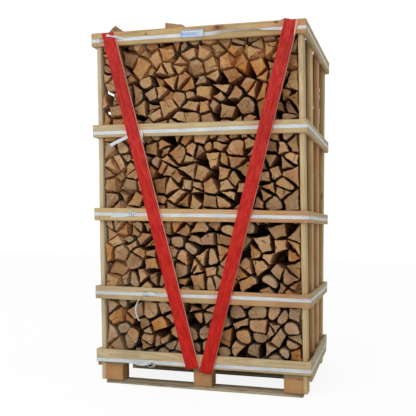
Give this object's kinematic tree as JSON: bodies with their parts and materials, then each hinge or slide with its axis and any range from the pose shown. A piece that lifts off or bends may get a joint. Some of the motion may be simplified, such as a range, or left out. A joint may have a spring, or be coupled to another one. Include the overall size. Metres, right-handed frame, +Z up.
{
  "type": "crate of firewood",
  "caption": "Slatted timber crate on a block pallet, banded with plastic straps, braced by a red V of boards and packed with split logs laid front to back.",
  "frame": {"origin": "on the ground, at the centre of the underside of the pallet's middle runner", "axes": "+Z up; the front with the red V faces -Y; +X to the right seen from the front"},
  "size_m": [1.2617, 0.9705, 2.011],
  "materials": {
    "pale_pine": "raw sawn softwood, rough",
    "block_wood": "raw sawn hardwood block, orange-brown, rough",
    "red_paint": "sawn board, face painted red and worn thin, edges raw",
    "white_strap": "woven white polyester strapping, satin",
    "label_paper": "pale bluish card with faint blank rules",
    "firewood": "dry split hardwood: sawn end grain, torn split faces and bark",
    "steel_wire": "dull galvanised wire and nail heads"
  },
  "bodies": {
    "root": {"back_rail_1": "pale_pine", "back_rail_2": "pale_pine", "back_rail_3": "pale_pine", "back_rail_4": "pale_pine", "back_rail_5": "pale_pine", "block_centre_back": "block_wood", "block_centre_front": "block_wood", "block_centre_middle": "block_wood", "block_left_back": "block_wood", "block_left_front": "block_wood", "block_left_middle": "block_wood", "block_right_back": "block_wood", "block_right_front": "block_wood", "block_right_middle": "block_wood", "brace_left": "red_paint", "brace_right": "red_paint", "deck_board_1": "pale_pine", "deck_board_2": "pale_pine", "deck_board_3": "pale_pine", "deck_board_4": "pale_pine", "deck_board_5": "pale_pine", "firewood_back": "firewood", "firewood_front": "firewood", "firewood_middle": "firewood", "front_rail_1": "pale_pine", "front_rail_2": "pale_pine", "front_rail_3": "pale_pine", "front_rail_4": "pale_pine", "front_rail_5": "pale_pine", "label": "label_paper", "runner_back": "pale_pine", "runner_front": "pale_pine", "runner_middle": "pale_pine", "side_rail_left_1": "pale_pine", "side_rail_left_2": "pale_pine", "side_rail_left_3": "pale_pine", "side_rail_left_4": "pale_pine", "side_rail_left_5": "pale_pine", "side_rail_right_1": "pale_pine", "side_rail_right_2": "pale_pine", "side_rail_right_3": "pale_pine", "side_rail_right_4": "pale_pine", "side_rail_right_5": "pale_pine", "slat_left_1": "pale_pine", "slat_left_2": "pale_pine", "slat_left_3": "pale_pine", "slat_left_4": "pale_pine", "slat_right_1": "pale_pine", "slat_right_2": "pale_pine", "slat_right_3": "pale_pine", "slat_right_4": "pale_pine", "strap_1": "white_strap", "strap_2": "white_strap", "strap_3": "white_strap", "strap_4": "white_strap", "strap_5": "white_strap", "stringer_centre": "pale_pine", "stringer_left": "pale_pine", "stringer_right": "pale_pine"}
  },
  "joints": []
}
